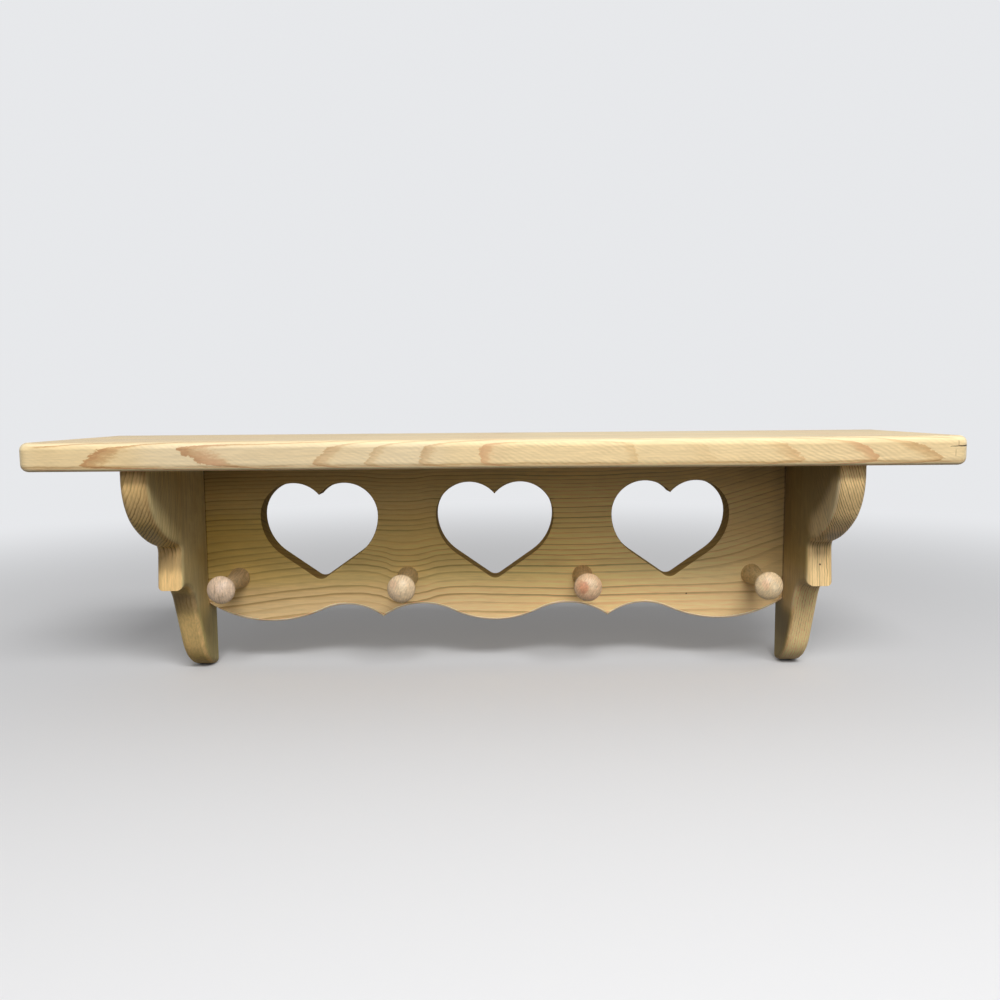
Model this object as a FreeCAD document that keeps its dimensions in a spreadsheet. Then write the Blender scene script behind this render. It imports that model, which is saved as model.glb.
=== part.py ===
# Wall shelf with a peg rail: a pine shelf board on two scrolled brackets, a back rail with
# three hearts and a scalloped lower edge, and four turned beech pegs, all doweled and glued.
# Millimetres. The wall is the plane y = 0, the front faces -Y, +X is to the right of someone
# who looks at the shelf and +Z is up. The origin is on the back of the rail, in the middle of
# its length, at the height of the two hanging screws.
import FreeCAD, Part
import math
import os
import Sketcher

Vector = FreeCAD.Vector

doc = FreeCAD.newDocument("PegRailShelf")

# driving sizes
SIZES = {
    # shelf board
    "shelf_length": 610.0,
    "shelf_depth": 148.0,
    "shelf_thickness": 19.0,
    "shelf_corner_radius": 7.0,
    "shelf_edge_radius": 4.8,
    # brackets: the inset is from the shelf's end, the overhang from the shelf's front edge, and
    # the drop is down from the underside of the shelf
    "bracket_inset": 58.2,
    "bracket_thickness": 19.0,
    "bracket_edge_radius": 4.8,
    "shelf_overhang": 15.5,
    "bracket_drop": 168.0,
    # rail: the rises are up from the bottom of its lobes
    "rail_thickness": 19.0,
    "rail_height": 129.0,
    "rail_end_rise": 15.0,
    "rail_edge_radius": 2.2,
    "crest_rise": 13.4,
    "inner_crest_radius": 54.0,
    "outer_crest_radius": 46.5,
    # hearts
    "heart_top_drop": 18.8,
    "heart_height": 76.0,
    "heart_width": 92.0,
    "heart_tip_radius": 7.0,
    "heart_edge_radius": 1.2,
    # pegs: the reach is out from the face of the rail, the inset in from the end of the rail
    "outer_peg_inset": 25.3,
    "peg_rise": 35.4,
    "peg_base_diameter": 16.4,
    "peg_neck_diameter": 10.8,
    "peg_head_diameter": 20.8,
    "peg_rim_radius": 3.0,
    "peg_reach": 54.0,
    "peg_flare_length": 15.7,
    "peg_dome_height": 6.3,
    "tenon_diameter": 12.7,
    "tenon_chamfer": 1.0,
    "peg_hole_floor": 3.0,
    # dowels: the covers are the wood left beyond the end of a blind hole
    "dowel_diameter": 8.0,
    "dowel_chamfer": 0.8,
    "dowel_grip": 19.0,
    "shelf_dowel_cover": 7.0,
    "bracket_dowel_cover": 8.0,
    "front_dowel_inset": 32.5,
    "back_dowel_place": 36.0,
    "upper_end_dowel_drop": 44.0,
    "lower_end_dowel_drop": 72.0,
    # the glue film round a dowel or tenon, and the space left at the end of its hole
    "glue_gap": 0.1,
    "hole_spare": 1.0,
    # keyhole slots for two wall screws, 406.4 (16 in) apart
    "hanging_inset": 24.6,
    "hanging_drop": 14.5,
    "screw_entry_diameter": 10.0,
    "screw_slot_width": 5.0,
    "screw_slot_rise": 12.0,
    "screw_lip": 4.5,
    "screw_hole_depth": 10.0,
}

# where the curves of the outlines begin and end, as shares of the sizes that they follow
SHARES = {
    # of the bracket's depth and drop
    "scroll_start_drop_share": 0.0399,
    "scroll_shoulder_depth_share": 0.8709,
    "scroll_shoulder_drop_share": 0.2454,
    "scroll_end_depth_share": 0.5887,
    "scroll_end_drop_share": 0.352,
    "block_top_depth_share": 0.5532,
    "block_bottom_depth_share": 0.5736,
    "block_bottom_drop_share": 0.549,
    "foot_top_depth_share": 0.3562,
    "foot_top_drop_share": 0.6339,
    "foot_bend_depth_share": 0.2377,
    "foot_bend_drop_share": 0.8512,
    # of half the rail's length
    "inner_crest_share": 0.2524,
    "cusp_share": 0.3916,
    "outer_crest_share": 0.518,
    "outer_lobe_share": 0.7814,
    "heart_pitch_share": 0.6058,
    # of the heart's width and height
    "heart_lobe_share": 0.2826,
    "heart_side_share": 0.4868,
}

# sizes worked out from the driving ones
WORKED_OUT = {
    "half_rail": "shelf_length / 2 - bracket_inset - bracket_thickness",
    "bracket_depth": "shelf_depth - shelf_overhang",
    "scroll_start_drop": "bracket_drop * scroll_start_drop_share",
    "scroll_shoulder_depth": "bracket_depth * scroll_shoulder_depth_share",
    "scroll_shoulder_drop": "bracket_drop * scroll_shoulder_drop_share",
    "scroll_end_depth": "bracket_depth * scroll_end_depth_share",
    "scroll_end_drop": "bracket_drop * scroll_end_drop_share",
    "block_top_depth": "bracket_depth * block_top_depth_share",
    "block_bottom_depth": "bracket_depth * block_bottom_depth_share",
    "block_bottom_drop": "bracket_drop * block_bottom_drop_share",
    "foot_top_depth": "bracket_depth * foot_top_depth_share",
    "foot_top_drop": "bracket_drop * foot_top_drop_share",
    "foot_bend_depth": "bracket_depth * foot_bend_depth_share",
    "foot_bend_drop": "bracket_drop * foot_bend_drop_share",
    "rail_end_height": "rail_height - rail_end_rise",
    "crest_drop": "rail_height - crest_rise",
    "inner_crest_place": "half_rail * inner_crest_share",
    "cusp_place": "half_rail * cusp_share",
    "outer_crest_place": "half_rail * outer_crest_share",
    "outer_lobe_place": "half_rail * outer_lobe_share",
    "heart_pitch": "half_rail * heart_pitch_share",
    "heart_lobe_radius": "heart_width * heart_lobe_share",
    "heart_side_radius": "heart_height * heart_side_share",
    "outer_peg_place": "half_rail - outer_peg_inset",
    "inner_peg_place": "heart_pitch / 2",
    "peg_drop": "rail_height - peg_rise",
    "peg_head_reach": "peg_reach - peg_dome_height",
    "peg_neck_reach": "peg_head_reach - peg_flare_length",
    "tenon_length": "rail_thickness - peg_hole_floor - hole_spare",
    "tenon_hole": "tenon_diameter + 2 * glue_gap",
    "dowel_hole": "dowel_diameter + 2 * glue_gap",
    "shelf_dowel_depth": "shelf_thickness - shelf_dowel_cover - hole_spare",
    "bracket_dowel_depth": "bracket_thickness - bracket_dowel_cover - hole_spare",
    "front_dowel_place": "bracket_depth - front_dowel_inset",
    "hanging_place": "half_rail - hanging_inset",
    # the underside of the shelf above the origin, and the middles of the boards' thicknesses
    "underside": "hanging_drop",
    "mid_rail": "rail_thickness / 2",
    "mid_bracket": "bracket_thickness / 2",
    "right_bracket_middle": "half_rail + bracket_thickness / 2",
    "left_bracket_middle": "0 - right_bracket_middle",
}

CELLS = {**SIZES, **SHARES}

sheet = doc.addObject("Spreadsheet::Sheet", "Sizes")
for row, (alias, number) in enumerate(CELLS.items(), start=1):
    sheet.set("A%d" % row, alias)
    sheet.set("B%d" % row, str(number))
    sheet.setAlias("B%d" % row, alias)
doc.recompute()


def sized(text):
    """A formula with each size written as its cell, or as the formula that it is worked out by."""
    words = text.replace("(", " ( ").replace(")", " ) ").split()
    return " ".join(cell_or_formula(word) for word in words)


def cell_or_formula(word):
    if word in WORKED_OUT:
        return "( %s )" % sized(WORKED_OUT[word])
    return "Sizes." + word if word in CELLS else word


def value(text):
    """What a formula of sizes comes to."""
    return float(sheet.evalExpression(sized(text)))


def bind(thing, attribute, text):
    """Set an attribute from a formula of sizes, now and whenever a size changes."""
    thing.setExpression(attribute, sized(text))


# bodies, sketches and features

def new_body(label, across="0", out="0", up="0"):
    """A body whose own origin is put across, out from the wall and up by three formulas."""
    body = doc.addObject("PartDesign::Body", label)
    body.Label = label
    bind(body, "Placement.Base.x", across)
    bind(body, "Placement.Base.y", "0 - ( %s )" % out)
    bind(body, "Placement.Base.z", up)
    return body


def plane(body, role):
    """One of the body's own origin planes."""
    return next(item for item in body.Origin.OriginFeatures if item.Role == role)


def new_sketch(body, role, name, shift_across="0", shift_up="0", lift="0"):
    """A sketch on an origin plane, shifted within it and lifted off it by formulas."""
    sketch = body.newObject("Sketcher::SketchObject", name)
    sketch.AttachmentSupport = [(plane(body, role), "")]
    sketch.MapMode = "FlatFace"
    bind(sketch, "AttachmentOffset.Base.x", shift_across)
    bind(sketch, "AttachmentOffset.Base.y", shift_up)
    bind(sketch, "AttachmentOffset.Base.z", lift)
    return sketch


START, END, CENTRE = range(1, 4)


class Piece:
    """A line or an arc in a sketch, with the two ends that an outline runs through."""

    def __init__(self, index, first, last):
        self.index = index
        self.first = first
        self.last = last


def add_line(sketch, start, stop):
    """A straight piece between two points."""
    line = Part.LineSegment(Vector(*start, 0), Vector(*stop, 0))
    return Piece(sketch.addGeometry(line, False), START, END)


def add_arc(sketch, start, stop, centre, turns_left):
    """A round piece about a centre, turning left or right from its start to its stop."""
    radius = math.hypot(start[0] - centre[0], start[1] - centre[1])
    begin = math.atan2(start[1] - centre[1], start[0] - centre[0])
    finish = math.atan2(stop[1] - centre[1], stop[0] - centre[0])
    if not turns_left:
        begin, finish = finish, begin
    circle = Part.Circle(Vector(*centre, 0), Vector(0, 0, 1), radius)
    index = sketch.addGeometry(Part.ArcOfCircle(circle, begin, finish), False)
    return Piece(index, START, END) if turns_left else Piece(index, END, START)


def bend_centre(start, heading, stop):
    """The centre of the arc that leaves start along heading and ends at stop."""
    side = (-heading[1], heading[0])
    run = (stop[0] - start[0], stop[1] - start[1])
    reach = (run[0] ** 2 + run[1] ** 2) / (2 * (side[0] * run[0] + side[1] * run[1]))
    return (start[0] + side[0] * reach, start[1] + side[1] * reach)


def heading_at(point, centre, turns_left):
    """The direction in which an arc about a centre passes a point."""
    spoke = (point[0] - centre[0], point[1] - centre[1])
    radius = math.hypot(*spoke)
    turn = 1 if turns_left else -1
    return (-turn * spoke[1] / radius, turn * spoke[0] / radius)


def corner(sketch, before, after):
    """One piece of an outline ends where the next begins."""
    sketch.addConstraint(Sketcher.Constraint(
        "Coincident", before.index, before.last, after.index, after.first))


def smooth(sketch, before, after):
    """One piece of an outline runs into the next without a corner."""
    sketch.addConstraint(Sketcher.Constraint(
        "Tangent", before.index, before.last, after.index, after.first))


def pin_across(sketch, index, spot, text):
    """Hold a point at a signed distance across from the sketch's origin."""
    measure_out(sketch, "DistanceX", index, spot, text, upright_axis=True)


def pin_up(sketch, index, spot, text):
    """Hold a point at a signed distance above the sketch's origin."""
    measure_out(sketch, "DistanceY", index, spot, text, upright_axis=False)


def measure_out(sketch, kind, index, spot, text, upright_axis):
    amount = value(text)
    if text == "0":
        axis = -2 if upright_axis else -1
        sketch.addConstraint(Sketcher.Constraint("PointOnObject", index, spot, axis))
    elif amount > 0:
        number = sketch.addConstraint(Sketcher.Constraint(kind, -1, 1, index, spot, amount))
        bind(sketch, "Constraints[%d]" % number, text)
    else:
        number = sketch.addConstraint(Sketcher.Constraint(kind, index, spot, -1, 1, -amount))
        bind(sketch, "Constraints[%d]" % number, "0 - ( %s )" % text)


def pin(sketch, index, spot, across, up):
    """Hold a point at two signed distances from the sketch's origin."""
    pin_across(sketch, index, spot, across)
    pin_up(sketch, index, spot, up)


def size_radius(sketch, index, text):
    """Give a circle or an arc its radius."""
    number = sketch.addConstraint(Sketcher.Constraint("Radius", index, value(text)))
    bind(sketch, "Constraints[%d]" % number, text)


def add_circle(sketch, across, up, radius):
    """A circle whose centre and radius are formulas."""
    centre = Vector(value(across), value(up), 0)
    index = sketch.addGeometry(Part.Circle(centre, Vector(0, 0, 1), value(radius)), False)
    pin(sketch, index, CENTRE, across, up)
    size_radius(sketch, index, radius)


def add_polygon(sketch, corners):
    """A closed straight-sided outline through corners given as pairs of formulas."""
    points = [(value(across), value(up)) for across, up in corners]
    sides = []
    for number in range(len(points)):
        sides.append(add_line(sketch, points[number - 1], points[number]))
    for number, side in enumerate(sides):
        corner(sketch, sides[number - 1], side)
        pin(sketch, side.index, side.last, *corners[number])


def settled(sketch):
    """Stop if a sketch can't be solved or is left loose."""
    doc.recompute()
    if sketch.solve() != 0 or sketch.FullyConstrained is False:
        raise RuntimeError(sketch.Name + " isn't fixed by its sizes")


def pad(body, sketch, thickness, reverse=False):
    """Raise a closed outline into a solid."""
    settled(sketch)
    feature = body.newObject("PartDesign::Pad", sketch.Name + "Pad")
    feature.Profile = sketch
    bind(feature, "Length", thickness)
    feature.Reversed = reverse
    doc.recompute()
    return feature


def pocket(body, sketch, depth, reverse=False):
    """Cut a closed outline into the solid, and stop if it cuts nothing."""
    settled(sketch)
    before = body.Shape.Volume
    feature = body.newObject("PartDesign::Pocket", sketch.Name + "Pocket")
    feature.Profile = sketch
    bind(feature, "Length", depth)
    feature.Reversed = reverse
    doc.recompute()
    if not feature.Shape.Volume < before:
        raise RuntimeError(feature.Name + " cuts nothing")
    return feature


def edges_where(shape, test):
    """The names of the edges that pass a test."""
    return ["Edge%d" % number for number, edge in enumerate(shape.Edges, start=1) if test(edge)]


def round_edges(body, radius, test, name):
    """Round the edges of the newest shape that pass a test."""
    base = body.Tip
    feature = body.newObject("PartDesign::Fillet", name)
    feature.Base = (base, edges_where(base.Shape, test))
    bind(feature, "Radius", radius)
    doc.recompute()
    return feature


def lies_at(edge, axis, place):
    """True for an edge that lies wholly in the plane where x, y or z has one value."""
    low = getattr(edge.BoundBox, axis + "Min")
    high = getattr(edge.BoundBox, axis + "Max")
    return abs(low - place) < CLOSE and abs(high - place) < CLOSE


# how near two places have to be to count as the same
CLOSE = value("shelf_thickness") / 1000


# the shelf board: front corners rounded in plan, then the front and end edges rounded over

def make_shelf_board():
    body = new_body("shelf_board", up="underside")
    plan = new_sketch(body, "XY_Plane", "ShelfPlan")
    add_polygon(plan, [
        ("0 - shelf_length / 2", "0"),
        ("0 - shelf_length / 2", "0 - shelf_depth"),
        ("shelf_length / 2", "0 - shelf_depth"),
        ("shelf_length / 2", "0"),
    ])
    pad(body, plan, "shelf_thickness")
    front = 0 - value("shelf_depth")

    def is_front_corner(edge):
        return lies_at(edge, "Y", front) and edge.BoundBox.XLength < CLOSE

    round_edges(body, "shelf_corner_radius", is_front_corner, "ShelfCorners")
    top = value("shelf_thickness")

    def is_shown_edge(edge):
        return (lies_at(edge, "Z", 0) or lies_at(edge, "Z", top)) and not lies_at(edge, "Y", 0)

    round_edges(body, "shelf_edge_radius", is_shown_edge, "ShelfEdges")
    holes = new_sketch(body, "XY_Plane", "ShelfDowelHoles")
    for across, out in shelf_dowel_places():
        add_circle(holes, across, "0 - " + out, "dowel_hole / 2")
    pocket(body, holes, "shelf_dowel_depth + hole_spare", reverse=True)


def shelf_dowel_places():
    """Where dowels rise into the shelf: two from each bracket and two from the rail."""
    places = []
    for side in ("left", "right"):
        for place in ("back_dowel_place", "front_dowel_place"):
            places.append((side + "_bracket_middle", place))
    for sign in ("0 - ", ""):
        places.append((sign + "heart_pitch / 2", "mid_rail"))
    return places


# a bracket: one outline seen from the side, with its front edges rounded over all the way down

def add_bracket_outline(sketch):
    """From the wall along the shelf, down the scroll, cove, block and foot, and up the wall."""
    top_back = (0, 0)
    top_front = (-value("bracket_depth"), 0)
    scroll_start = (top_front[0], -value("scroll_start_drop"))
    shoulder = (-value("scroll_shoulder_depth"), -value("scroll_shoulder_drop"))
    scroll_end = (-value("scroll_end_depth"), -value("scroll_end_drop"))
    block_bottom = (-value("block_bottom_depth"), -value("block_bottom_drop"))
    foot_top = (-value("foot_top_depth"), -value("foot_top_drop"))
    foot_bend = (-value("foot_bend_depth"), -value("foot_bend_drop"))
    foot_back = (0, -value("bracket_drop"))

    down = (0, -1)
    upper_centre = bend_centre(scroll_start, down, shoulder)
    shoulder_heading = heading_at(shoulder, upper_centre, True)
    lower_centre = bend_centre(shoulder, shoulder_heading, scroll_end)
    cove_heading = heading_at(scroll_end, lower_centre, True)
    cove_run = value("scroll_end_depth - block_top_depth")
    half_turn = math.atan2(cove_heading[0], -cove_heading[1]) / 2
    cove_end = (scroll_end[0] + cove_run, scroll_end[1] - cove_run / math.tan(half_turn))
    cove_centre = bend_centre(scroll_end, cove_heading, cove_end)
    foot_run = (foot_bend[0] - foot_top[0], foot_bend[1] - foot_top[1])
    foot_length = math.hypot(*foot_run)
    foot_heading = (foot_run[0] / foot_length, foot_run[1] / foot_length)
    throat_radius = (foot_top[1] - block_bottom[1]) / (foot_heading[0] - 1)
    throat_start = (foot_top[0] + throat_radius * foot_heading[1], block_bottom[1])
    throat_centre = (throat_start[0], throat_start[1] - throat_radius)
    sole_centre = bend_centre(foot_bend, foot_heading, foot_back)

    shelf_line = add_line(sketch, top_back, top_front)
    nose = add_line(sketch, top_front, scroll_start)
    upper_scroll = add_arc(sketch, scroll_start, shoulder, upper_centre, True)
    lower_scroll = add_arc(sketch, shoulder, scroll_end, lower_centre, True)
    cove = add_arc(sketch, scroll_end, cove_end, cove_centre, False)
    block = add_line(sketch, cove_end, block_bottom)
    block_underside = add_line(sketch, block_bottom, throat_start)
    throat = add_arc(sketch, throat_start, foot_top, throat_centre, False)
    foot = add_line(sketch, foot_top, foot_bend)
    sole = add_arc(sketch, foot_bend, foot_back, sole_centre, True)
    back = add_line(sketch, foot_back, top_back)

    corner(sketch, shelf_line, nose)
    smooth(sketch, nose, upper_scroll)
    smooth(sketch, upper_scroll, lower_scroll)
    smooth(sketch, lower_scroll, cove)
    smooth(sketch, cove, block)
    corner(sketch, block, block_underside)
    smooth(sketch, block_underside, throat)
    smooth(sketch, throat, foot)
    smooth(sketch, foot, sole)
    corner(sketch, sole, back)
    corner(sketch, back, shelf_line)

    pin(sketch, shelf_line.index, shelf_line.first, "0", "0")
    pin(sketch, nose.index, nose.first, "0 - bracket_depth", "0")
    pin(sketch, nose.index, nose.last, "0 - bracket_depth", "0 - scroll_start_drop")
    pin(sketch, lower_scroll.index, lower_scroll.first,
        "0 - scroll_shoulder_depth", "0 - scroll_shoulder_drop")
    pin(sketch, cove.index, cove.first, "0 - scroll_end_depth", "0 - scroll_end_drop")
    pin_across(sketch, block.index, block.first, "0 - block_top_depth")
    pin(sketch, block.index, block.last, "0 - block_bottom_depth", "0 - block_bottom_drop")
    pin_up(sketch, block_underside.index, block_underside.last, "0 - block_bottom_drop")
    pin(sketch, foot.index, foot.first, "0 - foot_top_depth", "0 - foot_top_drop")
    pin(sketch, foot.index, foot.last, "0 - foot_bend_depth", "0 - foot_bend_drop")
    pin(sketch, back.index, back.first, "0", "0 - bracket_drop")


def make_bracket(side):
    body = new_body(side + "_bracket", across=side + "_bracket_middle - mid_bracket",
                    up="underside")
    outline = new_sketch(body, "YZ_Plane", side.title() + "BracketOutline")
    add_bracket_outline(outline)
    pad(body, outline, "bracket_thickness")
    thickness = value("bracket_thickness")

    def is_front_edge(edge):
        on_a_side = lies_at(edge, "X", 0) or lies_at(edge, "X", thickness)
        return on_a_side and not lies_at(edge, "Y", 0) and not lies_at(edge, "Z", 0)

    round_edges(body, "bracket_edge_radius", is_front_edge, side.title() + "BracketEdges")

    top_holes = new_sketch(body, "XY_Plane", side.title() + "BracketTopHoles")
    for place in ("back_dowel_place", "front_dowel_place"):
        add_circle(top_holes, "mid_bracket", "0 - " + place, "dowel_hole / 2")
    pocket(body, top_holes, "dowel_grip + hole_spare")

    inner_face = "bracket_thickness" if side == "left" else "0"
    end_holes = new_sketch(body, "YZ_Plane", side.title() + "BracketRailHoles", lift=inner_face)
    for drop in ("upper_end_dowel_drop", "lower_end_dowel_drop"):
        add_circle(end_holes, "0 - mid_rail", "0 - " + drop, "dowel_hole / 2")
    pocket(body, end_holes, "bracket_dowel_depth + hole_spare", reverse=(side == "right"))


# the rail: half of its outline with the scallops, mirrored, then the hearts and all holes

def lobe_beside(crest_centre, crest_radius, place, bottom):
    """The centre of a lobe that touches a crest, and the point where the two meet."""
    run = place - crest_centre[0]
    lift = crest_centre[1] - bottom
    radius = (run ** 2 + lift ** 2 - crest_radius ** 2) / (2 * (crest_radius + lift))
    centre = (place, bottom + radius)
    share = crest_radius / (crest_radius + radius)
    join = (crest_centre[0] + run * share,
            crest_centre[1] + (centre[1] - crest_centre[1]) * share)
    return centre, join


def add_half_rail_outline(sketch):
    """The right half, from the middle of the top edge round to the middle of the lower edge."""
    half = value("half_rail")
    bottom = -value("rail_height")
    inner_radius = value("inner_crest_radius")
    outer_radius = value("outer_crest_radius")
    inner_centre = (value("inner_crest_place"), -value("crest_drop") - inner_radius)
    cusp_place = value("cusp_place")
    cusp = (cusp_place,
            inner_centre[1] + math.sqrt(inner_radius ** 2 - (cusp_place - inner_centre[0]) ** 2))
    outer_place = value("outer_crest_place")
    outer_centre = (outer_place,
                    cusp[1] - math.sqrt(outer_radius ** 2 - (outer_place - cusp_place) ** 2))
    lobe_place = value("outer_lobe_place")
    middle_centre, inner_join = lobe_beside(inner_centre, inner_radius, 0, bottom)
    lobe_centre, outer_join = lobe_beside(outer_centre, outer_radius, lobe_place, bottom)

    top_middle = (0, 0)
    top_end = (half, 0)
    low_end = (half, -value("rail_end_height"))
    outer_bottom = (lobe_place, bottom)
    low_middle = (0, bottom)
    end_centre = bend_centre(outer_bottom, (1, 0), low_end)

    top = add_line(sketch, top_middle, top_end)
    end = add_line(sketch, top_end, low_end)
    end_sweep = add_arc(sketch, low_end, outer_bottom, end_centre, False)
    outer_lobe = add_arc(sketch, outer_bottom, outer_join, lobe_centre, False)
    outer_crest = add_arc(sketch, outer_join, cusp, outer_centre, True)
    inner_crest = add_arc(sketch, cusp, inner_join, inner_centre, True)
    middle_lobe = add_arc(sketch, inner_join, low_middle, middle_centre, False)
    middle = add_line(sketch, low_middle, top_middle)

    corner(sketch, top, end)
    corner(sketch, end, end_sweep)
    corner(sketch, end_sweep, outer_lobe)
    smooth(sketch, outer_lobe, outer_crest)
    corner(sketch, outer_crest, inner_crest)
    smooth(sketch, inner_crest, middle_lobe)
    corner(sketch, middle_lobe, middle)
    corner(sketch, middle, top)

    pin(sketch, top.index, top.first, "0", "0")
    pin(sketch, end.index, end.first, "half_rail", "0")
    pin(sketch, end.index, end.last, "half_rail", "0 - rail_end_height")
    pin(sketch, outer_lobe.index, outer_lobe.first, "outer_lobe_place", "0 - rail_height")
    pin_across(sketch, end_sweep.index, CENTRE, "outer_lobe_place")
    pin_across(sketch, outer_lobe.index, CENTRE, "outer_lobe_place")
    pin_across(sketch, outer_crest.index, CENTRE, "outer_crest_place")
    size_radius(sketch, outer_crest.index, "outer_crest_radius")
    pin_across(sketch, inner_crest.index, inner_crest.first, "cusp_place")
    pin(sketch, inner_crest.index, CENTRE,
        "inner_crest_place", "0 - crest_drop - inner_crest_radius")
    size_radius(sketch, inner_crest.index, "inner_crest_radius")
    pin_across(sketch, middle_lobe.index, CENTRE, "0")
    pin(sketch, middle.index, middle.first, "0", "0 - rail_height")


def add_heart(sketch):
    """A heart about the sketch's upright axis: lobes, fuller sides, straight runs, blunt tip."""
    half_width = value("heart_width / 2")
    lobe_radius = value("heart_lobe_radius")
    side_radius = value("heart_side_radius")
    tip_radius = value("heart_tip_radius")
    level = -value("heart_top_drop + heart_lobe_radius")
    tip_level = -value("heart_top_drop + heart_height")

    lobe_place = half_width - lobe_radius
    side_place = half_width - side_radius
    tip_centre_level = tip_level + tip_radius
    notch_level = level + math.sqrt(lobe_radius ** 2 - lobe_place ** 2)
    rise = level - tip_centre_level
    spread = math.hypot(side_place, rise)
    lean = math.atan2(rise, side_place) - math.acos((tip_radius - side_radius) / spread)
    outward = (math.cos(lean), math.sin(lean))
    side_end = (side_place + side_radius * outward[0], level + side_radius * outward[1])
    tip_start = (tip_radius * outward[0], tip_centre_level + tip_radius * outward[1])

    halves = []
    for sign in (1, -1):
        turns_left = sign < 0
        lobe = add_arc(sketch, (0, notch_level), (sign * half_width, level),
                       (sign * lobe_place, level), turns_left)
        side = add_arc(sketch, (sign * half_width, level), (sign * side_end[0], side_end[1]),
                       (sign * side_place, level), turns_left)
        run = add_line(sketch, (sign * side_end[0], side_end[1]),
                       (sign * tip_start[0], tip_start[1]))
        tip = add_arc(sketch, (sign * tip_start[0], tip_start[1]), (0, tip_level),
                      (0, tip_centre_level), turns_left)
        smooth(sketch, lobe, side)
        smooth(sketch, side, run)
        smooth(sketch, run, tip)
        lead = "" if sign > 0 else "0 - "
        pin(sketch, lobe.index, CENTRE,
            lead + "( heart_width / 2 - heart_lobe_radius )",
            "0 - heart_top_drop - heart_lobe_radius")
        size_radius(sketch, lobe.index, "heart_lobe_radius")
        pin_up(sketch, side.index, CENTRE, "0 - heart_top_drop - heart_lobe_radius")
        size_radius(sketch, side.index, "heart_side_radius")
        pin_across(sketch, tip.index, CENTRE, "0")
        size_radius(sketch, tip.index, "heart_tip_radius")
        halves.append((lobe, tip))
    right, left = halves
    for number in (0, 1):
        spot = right[number].first if number == 0 else right[number].last
        other = left[number].first if number == 0 else left[number].last
        sketch.addConstraint(Sketcher.Constraint(
            "Coincident", right[number].index, spot, left[number].index, other))
    pin(sketch, right[1].index, right[1].last, "0", "0 - heart_top_drop - heart_height")


def cut_hearts(body):
    """Three hearts, from left to right."""
    outline = new_sketch(body, "XZ_Plane", "HeartOutline", shift_across="0 - heart_pitch")
    add_heart(outline)
    first = pocket(body, outline, "rail_thickness", reverse=True)
    row = body.newObject("PartDesign::LinearPattern", "HeartRow")
    row.Originals = [first]
    row.Direction = (outline, ["H_Axis"])
    bind(row, "Length", "2 * heart_pitch")
    row.Occurrences = 3
    body.Tip = row
    doc.recompute()


def peg_places():
    """Where the four pegs stand, from left to right."""
    return ["0 - outer_peg_place", "0 - inner_peg_place", "inner_peg_place", "outer_peg_place"]


def add_round_ended_slot(sketch, across, low, high, half_width):
    """A slot that runs up from a square start and ends in a half circle."""
    left = "( %s ) - ( %s )" % (across, half_width)
    right = "( %s ) + ( %s )" % (across, half_width)
    low_left = (value(left), value(low))
    low_right = (value(right), value(low))
    high_left = (value(left), value(high))
    high_right = (value(right), value(high))
    sill = add_line(sketch, low_left, low_right)
    right_side = add_line(sketch, low_right, high_right)
    round_end = add_arc(sketch, high_right, high_left, (value(across), value(high)), True)
    left_side = add_line(sketch, high_left, low_left)
    corner(sketch, sill, right_side)
    smooth(sketch, right_side, round_end)
    smooth(sketch, round_end, left_side)
    corner(sketch, left_side, sill)
    pin(sketch, sill.index, sill.first, left, low)
    pin(sketch, sill.index, sill.last, right, low)
    pin(sketch, round_end.index, CENTRE, across, high)
    size_radius(sketch, round_end.index, half_width)


def cut_keyholes(body):
    """Two keyhole slots in the back: a screw's head goes in low and slides up behind the lip."""
    head_room = "screw_entry_diameter / 2"
    low = "0 - hanging_drop - screw_slot_rise"
    high = "0 - hanging_drop"
    for name, sign in (("Left", "0 - "), ("Right", "")):
        across = sign + "hanging_place"
        entry = new_sketch(body, "XZ_Plane", name + "KeyholeEntry")
        add_circle(entry, across, low, head_room)
        pocket(body, entry, "screw_hole_depth", reverse=True)
        mouth = new_sketch(body, "XZ_Plane", name + "KeyholeMouth")
        add_round_ended_slot(mouth, across, low, high, "screw_slot_width / 2")
        pocket(body, mouth, "screw_lip", reverse=True)
        hidden = new_sketch(body, "XZ_Plane", name + "KeyholeSlot", lift="screw_lip")
        add_round_ended_slot(hidden, across, low, high, head_room)
        pocket(body, hidden, "screw_hole_depth - screw_lip", reverse=True)


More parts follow.
